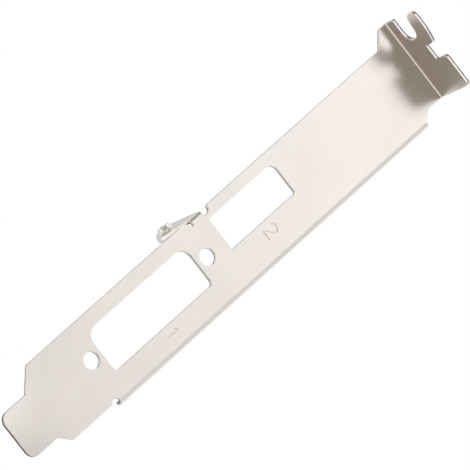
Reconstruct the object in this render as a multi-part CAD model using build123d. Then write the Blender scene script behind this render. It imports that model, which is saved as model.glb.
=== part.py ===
from build123d import *
import math
import os

# Full height expansion slot bracket, one folded steel sheet with a pressed-in nut.
# X runs across the plate, Y from outside the case to inside it, +Z up the plate.
# The origin is the centre of the case screw slot, at the underside of the top lip.

# Sheet and overall sizes, in mm
sheet = 0.86
lip_width = 18.42
overall_height = 120.02
slot_to_plate = 5.10
lip_reach = 10.95

# Datum planes
outer_y = slot_to_plate
inner_y = outer_y + sheet
tip_z = sheet - overall_height

# Tongue at the lower end and its sloping shoulders
tongue_left = 4.11
tongue_width = 10.19
tongue_right = tongue_left + tongue_width
tongue_length = 7.27
shoulder_z = tip_z + tongue_length
tongue_corner = 1.9
neck_fillet = 0.5
shoulder_corner = 0.6

# Right-hand edge: plain at the foot, turned back as a stiffening flange, set in under the lip
foot_right = 16.64
flange_inner_radius = 0.45
flange_radius = flange_inner_radius + sheet
plate_width = foot_right + flange_radius
flange_depth = 2.5
flange_drop = 5.86
flange_high = -flange_drop
foot_relief_radius = 1.0
foot_relief_inset = 0.36
foot_relief_x = foot_right + foot_relief_inset
foot_relief_rise = 21.45
foot_relief_z = tip_z + foot_relief_rise
flange_low = foot_relief_z + foot_relief_radius

# Ear that carries the lip out past the left-hand edge
ear_reach = 3.17
ear_drop = 4.76
ear_low = -ear_drop
ear_slope_rise = 3.0
ear_high = ear_low + ear_slope_rise
ear_corner = 0.4
head_right = lip_width - ear_reach
head_drop = 3.96
head_slope_z = -head_drop
head_corner = 0.6

# Top lip, bent out at a right angle
lip_inner_radius = 0.40
lip_radius = lip_inner_radius + sheet
lip_end_y = outer_y - lip_reach
lip_corner = 0.9

# Case screw slot, open to the left
slot_radius = 2.30
slot_flare = 0.55
slot_flare_x = -0.4
slot_flare_corner = 1.0
slot_lobe_corner = 0.5
finger_end_x = -2.95
finger_corner = 1.35

# Notch in the outer edge of the lip
notch_left = 4.40
notch_width = 3.35
notch_right = notch_left + notch_width
notch_depth = 3.75
notch_corner = 1.0
notch_root = 0.3
finger_taper_length = 3.3
finger_taper = 0.85
finger_taper_round = 9.0
finger_shoulder_x = notch_left - finger_taper_length
finger_shoulder_corner = 0.7

# Digital video opening and its two jack screw holes, a web of sheet left between them
jack_spacing = 33.30
jack_radius = 1.75
jack_web = 0.885
video_left = 3.00
video_width = 9.35
video_right = video_left + video_width
video_rise = 25.35
video_low = tip_z + video_rise
video_length = jack_spacing - 2 * (jack_radius + jack_web)
video_high = video_low + video_length
video_left_radius = 2.6
video_right_radius = 1.0
jack_x = (video_left + video_right) / 2
jack_low = (video_low + video_high - jack_spacing) / 2
jack_high = jack_low + jack_spacing

# Display opening above it, one corner well rounded
display_left = 2.36
display_width = 7.52
display_right = display_left + display_width
display_gap = 7.93
display_low = video_high + display_gap
display_length = 18.67
display_high = display_low + display_length
display_big_radius = 1.9
display_small_radius = 0.5
display_low_radius = 0.2

# Board lug, turned in from the left-hand edge between two relief cuts
lug_inner_radius = 0.40
lug_radius = lug_inner_radius + sheet
lug_gap = 0.31
lug_root_height = 3.1
lug_high = display_low - lug_gap
lug_low = lug_high - lug_root_height
relief_past_bend = 0.09
relief_depth = lug_radius + relief_past_bend
relief_high_width = 1.6
relief_high_corner = 0.7
relief_high_root = 0.6
relief_low_width = 0.7
relief_low_root = 0.25
relief_low_lead_x = 0.55
relief_low_lead_drop = 0.1
relief_low_lead_length = 1.9
relief_low_lead_corner = 0.4
relief_low_corner = 1.2
lug_heel_reach = 7.65
lug_heel_drop = 4.4
lug_heel_y = outer_y + lug_heel_reach
lug_heel_z = lug_low - lug_heel_drop
lug_heel_radius = 2.3
lug_reach = 14.8
lug_end_y = outer_y + lug_reach
lug_end_corner = 1.4

# Nut pressed into the lug from its outer side
nut_drop = 1.0
nut_z = lug_low - nut_drop
nut_reach = 8.6
nut_y = outer_y + nut_reach
nut_radius = 1.45
nut_height = 1.2
nut_bore_radius = 0.80
nut_chamfer = 0.15
knurl_height = 0.60
knurl_rise = 0.12
knurl_root = 0.02
knurl_radius = nut_radius + knurl_rise
knurl_teeth = 20


def rounded_face(corners):
    """Face inside a closed polygon; each corner is (x, y, radius)."""
    count = len(corners)
    starts = []
    ends = []
    middles = []
    for i in range(count):
        x, y, radius = corners[i]
        before = corners[i - 1]
        after = corners[(i + 1) % count]
        to_before = Vector(before[0] - x, before[1] - y).normalized()
        to_after = Vector(after[0] - x, after[1] - y).normalized()
        here = Vector(x, y)
        if radius <= 0:
            starts.append(here)
            ends.append(here)
            middles.append(None)
            continue
        half = math.acos(max(-1.0, min(1.0, to_before.dot(to_after)))) / 2
        reach = radius / math.tan(half)
        centre = here + (to_before + to_after).normalized() * (radius / math.sin(half))
        starts.append(here + to_before * reach)
        ends.append(here + to_after * reach)
        middles.append(centre + (here - centre).normalized() * radius)
    edges = []
    for i in range(count):
        if middles[i] is not None:
            edges.append(Edge.make_three_point_arc(starts[i], middles[i], ends[i]))
        nxt = (i + 1) % count
        if (starts[nxt] - ends[i]).length > 1e-6:
            edges.append(Edge.make_line(ends[i], starts[nxt]))
    return Face(Wire(edges))


def on_plate(corners, front=outer_y, depth=sheet):
    """Solid of a plate outline given as (x, z, radius), between front and front + depth."""
    plane = Plane((0, front + depth, 0), x_dir=(1, 0, 0), z_dir=(0, -1, 0))
    return extrude(plane * rounded_face(corners), depth)


def on_lip(corners, low=0.0, depth=sheet):
    """Solid of a lip outline given as (x, y, radius), between low and low + depth."""
    plane = Plane((0, 0, low), x_dir=(1, 0, 0), z_dir=(0, 0, 1))
    return extrude(plane * rounded_face(corners), depth)


def on_lug(corners, left=0.0, depth=sheet):
    """Solid of a lug outline given as (y, z, radius), between left and left + depth."""
    plane = Plane((left, 0, 0), x_dir=(0, 1, 0), z_dir=(1, 0, 0))
    return extrude(plane * rounded_face(corners), depth)


def bend(plane, inner, length):
    """Quarter of a bent sheet: the quadrant of the plane's +x and +y, along its normal."""
    ring = Circle(inner + sheet) - Circle(inner)
    side = inner + sheet
    quadrant = Pos(side / 2, side / 2) * Rectangle(side, side)
    return extrude(plane * (ring & quadrant), length)


# Flat plate, short of each bend
relief_low = lug_low - relief_low_width
relief_lead = relief_low - relief_low_lead_drop
relief_high = lug_high + relief_high_width
plate = on_plate([
    (tongue_left, tip_z, tongue_corner),
    (tongue_right, tip_z, tongue_corner),
    (tongue_right, shoulder_z, neck_fillet),
    (foot_right, shoulder_z + foot_right - tongue_right, shoulder_corner),
    (foot_right, flange_high, 0),
    (head_right, head_slope_z, head_corner),
    (head_right, -lip_inner_radius, 0),
    (-ear_reach, -lip_inner_radius, 0),
    (-ear_reach, ear_high, ear_corner),
    (0, ear_low, ear_corner),
    (0, relief_high, relief_high_corner),
    (relief_depth, relief_high, relief_high_root),
    (relief_depth, lug_high, relief_past_bend * 0.999),
    (lug_radius, lug_high, 0),
    (lug_radius, lug_low, 0),
    (relief_depth, lug_low, relief_past_bend * 0.999),
    (relief_depth, relief_low, relief_low_root),
    (relief_low_lead_x, relief_lead, relief_low_lead_corner),
    (0, relief_lead - relief_low_lead_length, relief_low_corner),
    (0, shoulder_z + tongue_left, shoulder_corner),
    (tongue_left, shoulder_z, neck_fillet),
])
foot_relief = Pos(foot_relief_x, inner_y, foot_relief_z) * Rot(90, 0, 0) * Cylinder(
    foot_relief_radius, 3 * sheet
)

# Stiffening flange
flange_axis = Plane(
    (foot_right, outer_y + flange_radius, flange_high), x_dir=(1, 0, 0), z_dir=(0, 0, -1)
)
flange_bend = bend(flange_axis, flange_inner_radius, flange_high - flange_low)
flange_wall = Pos(
    plate_width - sheet / 2,
    outer_y + (flange_radius + flange_depth) / 2,
    (flange_low + flange_high) / 2,
) * Box(sheet, flange_depth - flange_radius, flange_high - flange_low)

# Lip with its slot and notch
lip_axis = Plane(
    (-ear_reach, outer_y - lip_inner_radius, -lip_inner_radius), x_dir=(0, 1, 0), z_dir=(1, 0, 0)
)
lip_bend = bend(lip_axis, lip_inner_radius, ear_reach + head_right)
lip = on_lip([
    (-ear_reach, outer_y - lip_inner_radius, 0),
    (-ear_reach, slot_radius, slot_lobe_corner),
    (slot_radius, slot_radius, slot_radius * 0.999),
    (slot_radius, -slot_radius, slot_radius * 0.999),
    (slot_flare_x, -slot_radius, slot_flare_corner),
    (finger_end_x, -slot_radius - slot_flare, finger_corner),
    (finger_end_x, lip_end_y, finger_corner),
    (finger_shoulder_x, lip_end_y, finger_taper_round),
    (notch_left, lip_end_y + finger_taper, finger_shoulder_corner),
    (notch_left, lip_end_y + notch_depth, notch_root),
    (notch_right, lip_end_y + notch_depth, notch_root),
    (notch_right, lip_end_y, notch_corner),
    (head_right, lip_end_y, lip_corner),
    (head_right, outer_y - lip_inner_radius, 0),
])

# Lug with its bend
lug_axis = Plane(
    (lug_radius, outer_y + lug_radius, lug_low), x_dir=(-1, 0, 0), z_dir=(0, 0, 1)
)
lug_bend = bend(lug_axis, lug_inner_radius, lug_high - lug_low)
lug_root_y = outer_y + lug_radius
lug = on_lug([
    (lug_root_y, lug_low, 0),
    (lug_heel_y, lug_heel_z, lug_heel_radius),
    (lug_end_y, lug_low, lug_end_corner),
    (lug_end_y, lug_high, lug_end_corner),
    (lug_root_y, lug_high, 0),
])

# Openings
video_cut = on_plate([
    (video_left, video_low, video_left_radius),
    (video_right, video_low, video_right_radius),
    (video_right, video_high, video_right_radius),
    (video_left, video_high, video_left_radius),
], front=outer_y - sheet, depth=3 * sheet)
display_cut = on_plate([
    (display_left, display_low, display_low_radius),
    (display_right, display_low, display_low_radius),
    (display_right, display_high, display_small_radius),
    (display_left, display_high, display_big_radius),
], front=outer_y - sheet, depth=3 * sheet)
jack_cut = Rot(90, 0, 0) * Cylinder(jack_radius, 3 * sheet)
jack_y = outer_y + sheet / 2

bracket = plate + flange_bend + flange_wall + lip_bend + lip + lug_bend + lug
bracket = bracket - foot_relief - video_cut - display_cut
bracket = bracket - Pos(jack_x, jack_y, jack_low) * jack_cut
bracket = bracket - Pos(jack_x, jack_y, jack_high) * jack_cut

# Pressed-in nut: knurled shank through the lug, plain barrel standing on its outer side
nut_axis = Pos(0, nut_y, nut_z) * Rot(0, 90, 0)
shank = nut_axis * Pos(0, 0, sheet / 2) * Cylinder(nut_radius, sheet)
bracket = bracket - shank
barrel = nut_axis * Pos(0, 0, -nut_height / 2) * Cylinder(nut_radius, nut_height)
teeth = []
for i in range(2 * knurl_teeth):
    angle = math.pi * i / knurl_teeth
    radius = knurl_radius if i % 2 == 0 else nut_radius - knurl_root
    teeth.append((radius * math.cos(angle), radius * math.sin(angle)))
knurl_face = Face(Wire.make_polygon([Vector(x, y) for x, y in teeth], close=True))
knurl_plane = Plane((-knurl_height, nut_y, nut_z), x_dir=(0, 1, 0), z_dir=(1, 0, 0))
knurl = extrude(knurl_plane * knurl_face, knurl_height)
nut = shank + barrel + knurl
top_rim = nut.edges().filter_by(GeomType.CIRCLE).sort_by(Axis.X)[0]
nut = chamfer(top_rim, nut_chamfer)
nut_bore = nut_axis * Cylinder(nut_bore_radius, 6 * sheet)
nut = nut - nut_bore

os.makedirs("parts", exist_ok=True)
for name, shape in (("bracket", bracket), ("lug_nut", nut)):
    export_step(shape, f"parts/{name}.step")
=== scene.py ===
import math

import bmesh
import bpy
import numpy as np
from mathutils import Matrix, Vector


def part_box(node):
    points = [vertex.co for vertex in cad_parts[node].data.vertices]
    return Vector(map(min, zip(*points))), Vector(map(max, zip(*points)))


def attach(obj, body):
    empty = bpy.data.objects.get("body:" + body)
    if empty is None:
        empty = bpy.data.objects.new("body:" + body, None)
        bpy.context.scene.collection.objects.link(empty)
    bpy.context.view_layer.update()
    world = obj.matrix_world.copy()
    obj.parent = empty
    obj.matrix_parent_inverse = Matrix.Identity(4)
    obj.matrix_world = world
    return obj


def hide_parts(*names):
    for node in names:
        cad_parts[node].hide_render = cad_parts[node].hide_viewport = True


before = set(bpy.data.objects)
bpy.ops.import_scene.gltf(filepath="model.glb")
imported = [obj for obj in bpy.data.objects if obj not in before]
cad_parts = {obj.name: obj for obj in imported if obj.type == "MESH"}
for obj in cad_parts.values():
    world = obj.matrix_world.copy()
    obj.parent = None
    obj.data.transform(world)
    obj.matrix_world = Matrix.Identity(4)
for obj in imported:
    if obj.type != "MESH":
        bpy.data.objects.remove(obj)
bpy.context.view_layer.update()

# Bracket: one piece of rolled steel sheet, punched, folded three times and nickel plated. The CAD
# sheet's facets are joined into whole faces again, every punched edge gets its small round, and the
# port numbers 2 and 1 are pressed into the outer face. Sizes are in mm, scaled to metres at the end.
mm = 0.001
sheet = 0.86
outer_y = 5.10
foot_right = 16.64
flange_radius = 1.31
plate_width = foot_right + flange_radius
flange_low = -96.71
lip_inner_radius = 0.40
lug_radius = 1.26
lug_low = -61.26
lug_high = -58.16
same_line = 0.001
same_point = 0.0005
smallest_step = 0.07
flat_within = math.radians(0.4)
edge_round = 0.12
edge_round_steps = 3
edge_turn = math.radians(50)
least_length = 1e-9


def through_sheet(points):
    """Depth below the outer face as a share of the sheet, and the unit direction into the sheet.

    In a flat part the depth runs along that part's normal. In a bend it is the distance from the
    bend's axis, less the radius at the outer face, and the direction is the ray from the axis.
    """
    x, y, z = points.T
    share = (y - outer_y) / sheet
    into = np.tile((0.0, 1.0, 0.0), (len(points), 1))

    def flat(where, depth, direction):
        share[where] = depth[where] / sheet
        into[where] = direction

    def bent(where, first, second, axes, outer_radius, sign):
        ray = np.zeros_like(points)
        ray[:, axes[0]] = first
        ray[:, axes[1]] = second
        length = np.maximum(np.linalg.norm(ray, axis=1), least_length)
        share[where] = (sign * (length - outer_radius) / sheet)[where]
        into[where] = (sign * ray / length[:, None])[where]

    lip_axis_y = outer_y - lip_inner_radius
    in_lip_bend = (y >= lip_axis_y) & (z > -lip_inner_radius)
    flat(y < lip_axis_y, z, (0, 0, 1))
    bent(in_lip_bend, y - lip_axis_y, z + lip_inner_radius, (1, 2), lip_inner_radius, 1)

    flange_axis_y = outer_y + flange_radius
    in_flange_bend = (x > foot_right) & (y <= flange_axis_y) & (z < -flange_radius)
    flat((x > foot_right) & (y > flange_axis_y), plate_width - x, (-1, 0, 0))
    bent(in_flange_bend, x - foot_right, y - flange_axis_y, (0, 1), flange_radius, -1)

    lug_axis_y = outer_y + lug_radius
    in_lug_height = (z > lug_low - edge_round) & (z < lug_high + edge_round)
    in_lug_bend = (x < lug_radius) & (y > outer_y - edge_round) & (y <= lug_axis_y) & in_lug_height
    flat((x < lug_radius) & (y > lug_axis_y), x, (1, 0, 0))
    bent(in_lug_bend, x - lug_radius, y - lug_axis_y, (0, 1), lug_radius, -1)
    return share, into


def add_object(name, data):
    """A new object in the scene, with that mesh or camera."""
    made = bpy.data.objects.new(name, data)
    bpy.context.scene.collection.objects.link(made)
    return made


def settle(piece):
    """Works the piece's modifiers into its mesh."""
    bpy.context.view_layer.update()
    graph = bpy.context.evaluated_depsgraph_get()
    finished = bpy.data.meshes.new_from_object(piece.evaluated_get(graph))
    piece.modifiers.clear()
    piece.data = finished


# The relief cut at the foot stops a hair below the flange's end, and that small step is closed
# before the edges are rounded.
sheet_mesh = bpy.data.objects["bracket"].data.copy()
sheet_mesh.transform(Matrix.Scale(1 / mm, 4))
sheet_mesh.materials.clear()
work = bmesh.new()
work.from_mesh(sheet_mesh)
for vertex in work.verts:
    step = flange_low - vertex.co.z
    if abs(vertex.co.x - foot_right) < same_line and 0 < step < smallest_step:
        vertex.co.z = flange_low
bmesh.ops.remove_doubles(work, verts=work.verts, dist=same_point)
bmesh.ops.dissolve_limit(
    work, verts=work.verts, edges=work.edges, angle_limit=flat_within,
    use_dissolve_boundaries=False,
)
bmesh.ops.triangulate(work, faces=work.faces, quad_method="BEAUTY", ngon_method="BEAUTY")
work.to_mesh(sheet_mesh)
work.free()
bracket = add_object("bracket_sheet", sheet_mesh)
rounding = bracket.modifiers.new("rounding", "BEVEL")
rounding.width = edge_round
rounding.segments = edge_round_steps
rounding.limit_method = "ANGLE"
rounding.angle_limit = edge_turn
rounding.use_clamp_overlap = False
rounding.loop_slide = False
settle(bracket)

# Each digit is drawn as (x, z) points, 3 mm high. Rods along its strokes, whose middle lies just
# above the face, cut the shallow grooves.
drawn_height = 3.0
digit_height = 3.0
stroke_radius = 0.15
stroke_lift = 0.06
stroke_points = 36
stroke_sides = 16
curve_steps = 12
tip_rings = 4
first_tip_angle = 0.15
two_left = 11.12
two_foot = -50.11
one_left = 13.60
one_foot = -80.86
two_hook = np.array([
    (0.05, 2.25), (0.35, 2.78), (1.05, 3.0), (1.72, 2.75), (1.95, 2.15), (1.55, 1.5),
    (0.8, 0.75), (0.0, 0.02),
])
two_base = np.array([(0.0, 0.0), (1.1, 0.0), (2.15, 0.0)])
one_flag = np.array([(0.0, 2.35), (0.35, 2.65), (0.62, 3.0)])
one_stem = np.array([(0.62, 3.0), (0.62, 1.5), (0.62, 0.0)])


def curve_through(corners, count):
    """Evenly spaced points along the Catmull-Rom curve through the corners.

    Between b and c, with a before and d after them, the curve is half of 2 b + (c - a) t
    + (2 a - 5 b + 4 c - d) t squared + (3 b - a - 3 c + d) t cubed.
    """
    knots = np.array(corners, float)
    before = 2 * knots[:1] - knots[1:2]
    beyond = 2 * knots[-1:] - knots[-2:-1]
    knots = np.concatenate([before, knots, beyond])
    t = np.linspace(0, 1, curve_steps, endpoint=False)[:, None]
    a, b, c, d = (knots[i:len(knots) - 3 + i, None, :] for i in range(4))
    square = (2 * a - 5 * b + 4 * c - d) * t**2
    cube = (3 * b - a - 3 * c + d) * t**3
    line = 0.5 * (2 * b + (c - a) * t + square + cube)
    line = np.concatenate([line.reshape(-1, 2), knots[-2:-1]])
    gone = np.cumsum(np.linalg.norm(np.diff(line, axis=0), axis=1))
    gone = np.concatenate([[0], gone])
    wanted = np.linspace(0, gone[-1], count)
    return np.stack([np.interp(wanted, gone, line[:, k]) for k in range(2)], axis=1)


def face_outward(mesh):
    """Turns every face of a closed mesh outward."""
    work = bmesh.new()
    work.from_mesh(mesh)
    bmesh.ops.recalc_face_normals(work, faces=work.faces)
    work.to_mesh(mesh)
    work.free()


def stroke_tool(path):
    """A rod with rounded ends along (x, z) points: centre(s) + radius(s) * circle(t).

    The radius follows a half circle over the last stroke radius at each end, so the rod closes.
    """
    level = np.full(len(path), outer_y - stroke_lift)
    line = np.stack([path[:, 0], level, path[:, 1]], axis=1)
    ahead = np.gradient(line, axis=0)
    ahead /= np.linalg.norm(ahead, axis=1)[:, None]
    tip_angles = np.linspace(first_tip_angle, math.pi / 2, tip_rings)
    swell = np.sin(tip_angles)
    reach = np.cos(tip_angles)[:, None] * stroke_radius
    first_tip = line[0] - ahead[0] * reach
    last_tip = (line[-1] + ahead[-1] * reach)[::-1]
    centres = np.concatenate([first_tip, line[1:-1], last_tip])
    first_way = np.tile(ahead[0], (tip_rings, 1))
    last_way = np.tile(ahead[-1], (tip_rings, 1))
    facing = np.concatenate([first_way, ahead[1:-1], last_way])
    radius = stroke_radius * np.concatenate([swell, np.ones(len(line) - 2), swell[::-1]])
    out = np.array((0.0, -1.0, 0.0))
    side = np.cross(facing, out)
    turn = np.linspace(0, 2 * math.pi, stroke_sides, endpoint=False)
    ring = np.cos(turn)[None, :, None] * side[:, None, :] + np.sin(turn)[None, :, None] * out
    points = centres[:, None, :] + radius[:, None, None] * ring
    rows, around = points.shape[:2]
    corner = np.arange(rows * around).reshape(rows, around)
    after = np.roll(corner, -1, axis=1)
    quads = np.stack([corner[:-1], after[:-1], after[1:], corner[1:]], axis=-1)
    caps = [corner[0, ::-1].tolist(), corner[-1].tolist()]
    mesh = bpy.data.meshes.new("stroke")
    mesh.from_pydata(points.reshape(-1, 3).tolist(), [], quads.reshape(-1, 4).tolist() + caps)
    face_outward(mesh)
    return add_object("stroke", mesh)


for corners, left, foot in (
    (two_hook, two_left, two_foot), (two_base, two_left, two_foot),
    (one_flag, one_left, one_foot), (one_stem, one_left, one_foot),
):
    placed = corners * digit_height / drawn_height + (left, foot)
    tool = stroke_tool(curve_through(placed, stroke_points))
    cut = bracket.modifiers.new("stroke", "BOOLEAN")
    cut.operation = "DIFFERENCE"
    cut.solver = "EXACT"
    cut.object = tool
    settle(bracket)
    bpy.data.objects.remove(tool)

# Its normals are worked out, not averaged. On both sides of the sheet a normal is the direction
# through the sheet, also round the bends. On a punched edge it is the edge's own, and the small
# rounds lead from one to the other. The pressed digits keep the normals of their grooves.
side_within = 0.02
side_facing = 0.80
cut_facing = 0.12
groove_middle = 0.06
groove_reach = 0.055
digit_middle = (1.0, 1.5)
digit_reach = (1.6, 2.0)
least_agreement = 0.55
least_area = 1e-7
least_sum = 1e-12
least_run = 1e-6


def read(items, name, width=1, kind=float):
    """One attribute of all of a mesh's points, faces or corners, with a row for each of them."""
    values = np.empty(len(items) * width, kind)
    items.foreach_get(name, values)
    return values.reshape(-1, width) if width > 1 else values


def dot(first, second):
    """Dot product of each row of the first with the same row of the second."""
    return np.einsum("ij,ij->i", first, second)


mesh = bracket.data
points = read(mesh.vertices, "co", 3)
normals = read(mesh.polygons, "normal", 3)
centres = read(mesh.polygons, "center", 3)
areas = read(mesh.polygons, "area")
loop_vertex = read(mesh.loops, "vertex_index", kind=int)
count = len(mesh.polygons)
loop_face = np.repeat(np.arange(count), read(mesh.polygons, "loop_total", kind=int))
loop_normal = normals[loop_face]

share, into = through_sheet(points)
face_into = through_sheet(centres)[1]
facing = np.abs(dot(normals, face_into))
off_side = np.minimum(np.abs(share), np.abs(share - 1))
worst = np.zeros(count)
np.maximum.at(worst, loop_face, off_side[loop_vertex])
in_digit = np.zeros(count, bool)
for left, foot in ((two_left, two_foot), (one_left, one_foot)):
    in_digit |= (
        (np.abs(centres[:, 1] - outer_y - groove_middle) < groove_reach)
        & (np.abs(centres[:, 0] - left - digit_middle[0]) < digit_reach[0])
        & (np.abs(centres[:, 2] - foot - digit_middle[1]) < digit_reach[1])
    )
lies_flat = (worst < side_within) & (facing > side_facing)
is_side = lies_flat & ~in_digit
is_cut = ~lies_flat & (facing < cut_facing) & ~in_digit
is_round = ~(is_side | is_cut | in_digit)


def sum_at_vertices(chosen):
    """Area-weighted sum of the chosen faces' normals at each vertex, and whether there is one."""
    total = np.zeros_like(points)
    loops = chosen[loop_face]
    weighted = (areas + least_area)[:, None] * normals
    np.add.at(total, loop_vertex[loops], weighted[loop_face[loops]])
    length = np.linalg.norm(total, axis=1)
    return total / np.maximum(length, least_sum)[:, None], length > least_sum


side_sum, has_side = sum_at_vertices(is_side)
cut_sum, has_cut = sum_at_vertices(is_cut)
round_sum, has_round = sum_at_vertices(is_round)
digit_sum, has_digit = sum_at_vertices(in_digit)
side_normal = into * np.sign(dot(side_sum, into))[:, None]
corner_normal = loop_normal.copy()
for chosen, table, known in (
    (is_round, round_sum, has_round), (is_round, cut_sum, has_cut),
    (is_round, side_normal, has_side), (is_cut, cut_sum, has_cut),
    (is_side, side_normal, has_side), (in_digit, digit_sum, has_digit),
):
    offered = table[loop_vertex]
    agrees = dot(offered, loop_normal) > least_agreement
    use = chosen[loop_face] & known[loop_vertex] & agrees
    corner_normal[use] = offered[use]

# The map called sheet runs along the edge in its first direction and into the depth in its second.
run = np.cross(face_into, normals)
run /= np.maximum(np.linalg.norm(run, axis=1), least_run)[:, None]
along = dot(points[loop_vertex], run[loop_face])
layer = mesh.uv_layers.new(name="sheet")
layer.data.foreach_set("uv", np.stack([along, share[loop_vertex]], axis=1).ravel())
mesh.polygons.foreach_set("material_index", is_cut * 1 + is_round * 2)
mesh.polygons.foreach_set("use_smooth", np.ones(count, bool))
mesh.normals_split_custom_set(corner_normal.tolist())
mesh.transform(Matrix.Scale(mm, 4))
mesh.name = "bracket_sheet"


class Field:
    """A value that changes over a surface: an output socket, with the usual signs of arithmetic."""

    def __init__(self, tree, link):
        self.tree = tree
        self.link = link

    def node(self, kind, settings, sockets, output=0):
        """A new node of that type: its settings first, then its sockets' values or links."""
        made = self.tree.nodes.new(kind)
        for name, value in settings.items():
            setattr(made, name, value)
        for place, value in sockets.items():
            if isinstance(value, Field):
                self.tree.links.new(value.link, made.inputs[place])
            else:
                made.inputs[place].default_value = value
        return Field(self.tree, made.outputs[output])

    def maths(self, operation, first, second=0.0):
        return self.node("ShaderNodeMath", {"operation": operation}, {0: first, 1: second})

    def __add__(self, other):
        return self.maths("ADD", self, other)

    def __radd__(self, other):
        return self.maths("ADD", other, self)

    def __sub__(self, other):
        return self.maths("SUBTRACT", self, other)

    def __rsub__(self, other):
        return self.maths("SUBTRACT", other, self)

    def __mul__(self, other):
        return self.maths("MULTIPLY", self, other)

    def __rmul__(self, other):
        return self.maths("MULTIPLY", other, self)

    def __truediv__(self, other):
        return self.maths("DIVIDE", self, other)

    def __pow__(self, other):
        return self.maths("POWER", self, other)

    def sine(self):
        return self.maths("SINE", self)

    def clip(self, low, high):
        return self.maths("MINIMUM", self.maths("MAXIMUM", self, low), high)

    def step(self, start, end):
        """0 at start, 1 at end, and smooth between them."""
        settings = {"interpolation_type": "SMOOTHSTEP"}
        sockets = {"Value": self, "From Min": start, "From Max": end}
        return self.node("ShaderNodeMapRange", settings, sockets)

    def blend(self, first, second):
        """The first colour where the value is 0, and the second where it is 1."""
        ends = [c if isinstance(c, Field) else (*c, 1.0) for c in (first, second)]
        sockets = {"Factor": self, 6: ends[0], 7: ends[1]}
        return self.node("ShaderNodeMix", {"data_type": "RGBA"}, sockets, 2)

    def part(self, axis):
        """The place's coordinate on that axis: 0, 1 or 2."""
        return self.node("ShaderNodeSeparateXYZ", {}, {0: self}, axis)

    def grain(self, cells, detail=3.0):
        """Noise with that many cells in a unit of length along each of the three directions."""
        place = self.node("ShaderNodeVectorMath", {"operation": "MULTIPLY"}, {0: self, 1: cells})
        sockets = {"Vector": place, "Scale": 1.0, "Detail": detail}
        return self.node("ShaderNodeTexNoise", {}, sockets)

    def bump(self, distance):
        """The normal over a relief of this value, one distance high where the value is 1."""
        return self.node("ShaderNodeBump", {}, {"Height": self, "Distance": distance}, "Normal")


def metal(name):
    """A fully metallic material, its shader's sockets and its Texture Coordinate outputs."""
    made = bpy.data.materials.new(name)
    made.use_nodes = True
    tree = made.node_tree
    shader = tree.nodes["Principled BSDF"]
    shader.inputs["Metallic"].default_value = 1.0
    places = tree.nodes.new("ShaderNodeTexCoord").outputs
    return made, shader.inputs, {key: Field(tree, places[key]) for key in ("Object", "UV")}


def feed(socket, field):
    """Links the field to a shader's socket."""
    field.tree.links.new(field.link, socket)


# Nickel plating on the rolled faces: a warm satin white. Faint streaks from the rolls run up the
# sheet, a pebbled haze lies under the plating, cloudy patches change its warmth, and the sheet is
# never dead flat: it waves a little, and the tongue below the neck is twisted by a hair.
patch_from = 0.3
patch_to = 0.7
face_warm = (0.925, 0.853, 0.778)
face_pale = (0.94, 0.876, 0.812)
face_roughness = 0.22
neck_z = -109.0
neck_to_tip = 12.0
tongue_middle = 9.2
twist_rate = -0.22
micron = 0.000001
plated_face, shader, place = metal("plated_face")
here = place["Object"]
cloud = here.grain((90.0, 90.0, 40.0), 4.0)
streak = here.grain((3500.0, 3500.0, 60.0))
pebble = here.grain((4200.0, 4200.0, 4200.0), 2.0)
scratch = here.grain((14000.0, 14000.0, 300.0), 2.0)
wave = here.grain((70.0, 70.0, 45.0), 1.0)
patch = (cloud * 0.7 + streak * 0.3).step(patch_from, patch_to)
feed(shader["Base Color"], patch.blend(face_warm, face_pale))
feed(shader["Roughness"], face_roughness + streak * 0.05 + cloud * 0.06 + scratch * 0.03)
below_neck = ((neck_z * mm - here.part(2)) / mm).clip(0.0, neck_to_tip)
twist = below_neck * below_neck * (here.part(0) / mm - tongue_middle) * twist_rate
relief = wave * 150.0 + twist + pebble * 0.9 + scratch * 0.3 + streak * 0.6
feed(shader["Normal"], relief.bump(micron))

# The same plating over a punched edge: a burnished band where the punch entered and, beyond a ragged
# line, a torn one.
# The torn band is real, but its dark grey is painted shade: the shaded floor close behind the
# bracket, as the edge walls mirror it.
# The line lies deeper on the lip and the lug, so less of that painted shade shows there, and less
# deep at the tongue's tip, where the painted shade is darker too.
burnished = (0.93, 0.87, 0.81)
# The two dark greys below are painted shade on the torn band. The darker one is for the tongue's
# tip.
torn_dark_painted_shade = (0.23, 0.22, 0.21)
tip_painted_shade = (0.09, 0.085, 0.08)
torn_from = 0.50
torn_to = 0.64
raggedness = 0.3
lip_deeper = 0.13
lug_deeper = 0.36
tip_shallower = 0.30
lip_side_end = 1.0
lug_side_end = 2.0
tip_from = -0.1135
tip_to = -0.1185
edge_roughness = 0.20
edge_relief = 0.000014
plated_edge, shader, place = metal("plated_edge")
here = place["Object"]
across = here.part(0) / mm
away = here.part(1) / mm
on_lip = (outer_y - away).step(lip_inner_radius, lip_side_end)
behind_plate = (away - outer_y).step(lug_radius, lug_side_end)
on_lug = behind_plate * (lug_radius - across).step(-1.0, 0.0)
# Painted shade: at the tongue's tip the torn band starts sooner and turns darker.
tip_shade_mask = here.part(2).step(tip_from, tip_to)
depth = place["UV"].part(1) - on_lip * lip_deeper - on_lug * lug_deeper + tip_shade_mask * tip_shallower
ragged = here.grain((2500.0, 2500.0, 2500.0))
# This mask of the torn band also places its painted shade.
torn_band_and_shade = (depth + ragged * raggedness).step(torn_from, torn_to)
tear = place["UV"].grain((9.0, 1.6, 1.0), 4.0)
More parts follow.
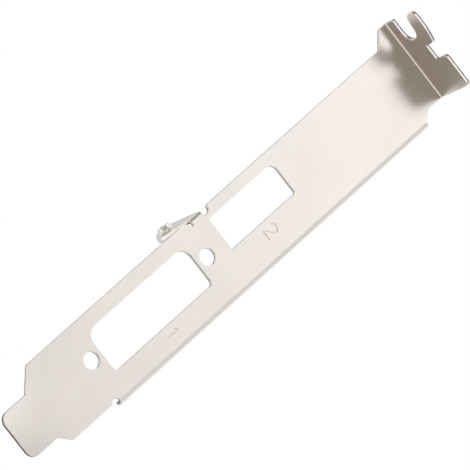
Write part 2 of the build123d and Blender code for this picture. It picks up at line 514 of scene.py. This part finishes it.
# Painted shade: the torn band's grey turns darker at the tongue's tip.
torn_grey_painted_shade = tip_shade_mask.blend(torn_dark_painted_shade, tip_painted_shade)
feed(shader["Base Color"], torn_band_and_shade.blend(burnished, torn_grey_painted_shade))
feed(shader["Roughness"], edge_roughness + torn_band_and_shade * 0.14 + tear * 0.10)
feed(shader["Normal"], (tear * (0.15 + torn_band_and_shade)).bump(edge_relief))

# Between the two, tumbling has polished the rounded rim.
rim_warm = (0.93, 0.865, 0.80)
rim_pale = (0.95, 0.89, 0.83)
rim_roughness = 0.10
rim_relief = 0.000006
plated_rim, shader, place = metal("plated_rim")
worn = place["Object"].grain((1500.0, 1500.0, 1500.0))
feed(shader["Base Color"], worn.step(patch_from, patch_to).blend(rim_warm, rim_pale))
feed(shader["Roughness"], rim_roughness + worn * 0.08)
feed(shader["Normal"], worn.bump(rim_relief))

for material in (plated_face, plated_edge, plated_rim):
    bracket.data.materials.append(material)
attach(bracket, "root")
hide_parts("bracket")

# Lug nut: a bright steel M2 nut, turned on a lathe, knurled next to its seat and pressed into the
# lug. One profile is carried round the axis: the thread shifts the bore's radius with the turn, and
# the knurl the collar's. Its columns are radius, place on the axis, share of thread and of knurl.
nut_low, nut_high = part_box("lug_nut")
nut_y = (nut_low[1] + nut_high[1]) / 2 / mm
nut_z = (nut_low[2] + nut_high[2]) / 2 / mm
barrel = 1.45
bore = 0.80
mouth = 0.12
front = -1.20
rim_round = 0.15
seat = 0.0
shank_end = sheet
shank_bevel = 0.04
bevel_start = shank_end - shank_bevel
knurl_end = -0.60
knurl_start = knurl_end + 0.1
knurl_stop = seat - 0.06
knurl_base = 0.02
knurl_low = barrel + knurl_base
knurl_rise = 0.10
knurl_teeth = 20
knurl_root = 0.1
knurl_flank = 0.7
pitch = 0.40
thread_depth = 0.18
thread_root = 0.12
thread_flank = 0.70
around = 320
sharp_above = math.radians(40)


def stretch(first, last, rows, threaded=(0, 0), knurled=(0, 0)):
    """Rows of the profile on the straight line from the first (radius, place) to the last one.

    Each row is first * (1 - t) + last * t, and the last point itself starts the next stretch.
    """
    t = np.linspace(0, 1, rows, endpoint=False)[:, None]
    start = np.array((*first, threaded[0], knurled[0]), float)
    end = np.array((*last, threaded[1], knurled[1]), float)
    return start * (1 - t) + end * t


def corner_round(radius, place, size, rows):
    """Rows of the quarter circle from the end face round to the barrel.

    The radius is radius - size + size * sin(turn), and the place is place + size * (1 - cos(turn)).
    """
    turn = np.linspace(0, math.pi / 2, rows, endpoint=False)
    plain = np.zeros(rows)
    outward = radius - size + size * np.sin(turn)
    return np.stack([outward, place + size * (1 - np.cos(turn)), plain, plain], axis=1)


def ramp(value, root, flank):
    """0 below the root, 1 beyond root + flank, and straight between them."""
    return np.clip((value - root) / flank, 0, 1)


profile = np.concatenate([
    stretch((bore + mouth, shank_end), (bore, shank_end - mouth), 4),
    stretch((bore, shank_end - mouth), (bore, front + mouth), 72, threaded=(1, 1)),
    stretch((bore, front + mouth), (bore + mouth, front), 4),
    stretch((bore + mouth, front), (barrel - rim_round, front), 6),
    corner_round(barrel, front, rim_round, 6),
    stretch((barrel, front + rim_round), (barrel, knurl_end), 3),
    stretch((barrel, knurl_end), (knurl_low, knurl_start), 3, knurled=(0, 1)),
    stretch((knurl_low, knurl_start), (knurl_low, knurl_stop), 4, knurled=(1, 1)),
    stretch((knurl_low, knurl_stop), (barrel, seat), 3, knurled=(1, 0)),
    stretch((barrel, seat), (barrel, bevel_start), 3),
    stretch((barrel, bevel_start), (barrel - shank_bevel, shank_end), 3),
    stretch((barrel - shank_bevel, shank_end), (bore + mouth, shank_end), 6),
])
radius, axial, threaded, knurled = (profile[:, k][:, None] for k in range(4))
turn = np.linspace(0, 2 * math.pi, around, endpoint=False)[None, :]
share_round = turn / (2 * math.pi)
thread = np.abs(((axial / pitch - share_round) % 1.0) * 2 - 1)
tooth = np.abs(((turn * knurl_teeth / (2 * math.pi)) % 1.0) * 2 - 1)
wall = radius + threaded * thread_depth * ramp(thread, thread_root, thread_flank)
wall = wall + knurled * knurl_rise * ramp(tooth, knurl_root, knurl_flank)
grid_x = np.broadcast_to(axial, wall.shape)
grid = np.stack([grid_x, nut_y + wall * np.cos(turn), nut_z + wall * np.sin(turn)], axis=-1) * mm
rows = len(profile)
corner = np.arange(rows * around).reshape(rows, around)
after = np.roll(corner, -1, axis=1)
next_row = np.roll(corner, -1, axis=0)
after_next = np.roll(after, -1, axis=0)
quads = np.stack([corner, next_row, after_next, after], axis=-1)
nut_mesh = bpy.data.meshes.new("knurled_nut")
nut_mesh.from_pydata(grid.reshape(-1, 3).tolist(), [], quads.reshape(-1, 4).tolist())
face_outward(nut_mesh)
nut_mesh.polygons.foreach_set("use_smooth", np.ones(len(nut_mesh.polygons), bool))
nut_mesh.set_sharp_from_angle(angle=sharp_above)

# Its steel is bright, with rings from the lathe round the axis and scuffs on what stands out.
steel_dull = (0.86, 0.85, 0.83)
steel_bright = (0.95, 0.94, 0.93)
steel_roughness = 0.20
ring_rate = 95.0
nut_relief = 0.000003
nut_steel, shader, place = metal("nut_steel")
here = place["Object"]
off_y = here.part(1) / mm - nut_y
off_z = here.part(2) / mm - nut_z
ring = ((off_y * off_y + off_z * off_z) ** 0.5 * ring_rate).sine() * 0.5 + 0.5
scuff = here.grain((6000.0, 6000.0, 6000.0), 4.0)
feed(shader["Base Color"], scuff.step(patch_from, patch_to).blend(steel_dull, steel_bright))
feed(shader["Roughness"], steel_roughness + scuff * 0.15 + ring * 0.04)
feed(shader["Normal"], (ring * 0.5 + scuff).bump(nut_relief))
nut_mesh.materials.append(nut_steel)
nut = add_object("knurled_nut", nut_mesh)
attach(nut, "root")
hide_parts("lug_nut")

# Studio: white paper all round, which is plain white where it is seen directly. What the metal
# mirrors is softer: the paper in front dims from top to bottom, and grey boards stand behind, at
# both sides and round the camera, with one bright board underneath.
brightest = 1.35
darkest = 0.35
black = (0.0, 0.0, 0.0)
white = (1.0, 1.0, 1.0)
world = bpy.data.worlds.new("studio")
bpy.context.scene.world = world
world.use_nodes = True
tree = world.node_tree
tree.nodes.clear()
sky = Field(tree, tree.nodes.new("ShaderNodeTexCoord").outputs["Generated"])


def toward(axis, outer, inner):
    """Share of a cone round the axis: 0 outside outer degrees, 1 inside inner degrees."""
    sockets = {0: sky, 1: tuple(Vector(axis).normalized())}
    nearness = sky.node("ShaderNodeVectorMath", {"operation": "DOT_PRODUCT"}, sockets, "Value")
    return nearness.step(math.cos(math.radians(outer)), math.cos(math.radians(inner)))


def grey(level, tint=white):
    """The tint at that level."""
    return tuple(level * t for t in tint)


# The boards: middle, degrees from it where a board ends and where it is full, level and tint.
boards = [
    ((0.135, 0.62, -0.77), 46, 32, 0.70, white),
    ((0.135, -0.16, -0.98), 32, 14, 1.15, white),
    ((0.80, -0.30, 0.46), 42, 28, 0.72, (0.98, 1.0, 1.03)),
    ((-0.93, -0.15, 0.40), 34, 16, 0.28, white),
    ((-0.135, 0.869, 0.476), 45, 30, 0.64, (0.97, 1.0, 1.05)),
    ((0.135, -0.87, -0.476), 47, 26, 0.25, (1.0, 0.95, 0.88)),
]
front_paper = ((sky.part(2) - 0.46) * 10.0 + 1.05).clip(darkest, brightest)
in_front = (0.0 - sky.part(1)).step(0.2, 0.6)
glow = (front_paper / brightest).blend(black, grey(brightest, (1.0, 1.005, 1.03)))
glow = in_front.blend(white, glow)
for middle, ends_at, full_at, level, tint in boards:
    glow = toward(middle, ends_at, full_at).blend(glow, grey(level, tint))
mirrored = tree.nodes.new("ShaderNodeBackground")
feed(mirrored.inputs["Color"], glow)
paper = tree.nodes.new("ShaderNodeBackground")
paper.inputs["Color"].default_value = (*white, 1.0)
ray = tree.nodes.new("ShaderNodeLightPath").outputs
camera_ray = Field(tree, ray["Is Camera Ray"])
seen = camera_ray.maths("MAXIMUM", camera_ray, Field(tree, ray["Is Transmission Ray"]))
choose = tree.nodes.new("ShaderNodeMixShader")
feed(choose.inputs[0], seen)
tree.links.new(mirrored.outputs[0], choose.inputs[1])
tree.links.new(paper.outputs[0], choose.inputs[2])
output = tree.nodes.new("ShaderNodeOutputWorld")
tree.links.new(choose.outputs[0], output.inputs["Surface"])

# Camera: a long lens from below, left and in front, so that the plate runs from lower left to upper
# right. The eye and the picture's two directions were fitted to the bracket's standard sizes.
eye = Vector((-0.147477, -0.997783, -0.604824))
picture_right = Vector((0.605992, -0.452403, 0.654298)).normalized()
picture_down = Vector((0.783963, 0.200254, -0.587622))
picture_down = (picture_down - picture_right * picture_down.dot(picture_right)).normalized()
back = picture_right.cross(-picture_down)
lens = bpy.data.cameras.new("camera")
lens.sensor_width = 36.0
lens.lens = 459.59
lens.clip_start = 0.05
lens.clip_end = 20.0
camera = add_object("camera", lens)
turned = Matrix((picture_right, -picture_down, back)).transposed().to_4x4()
camera.matrix_world = Matrix.Translation(eye) @ turned
bpy.context.scene.camera = camera
bpy.context.scene.view_settings.view_transform = "Standard"
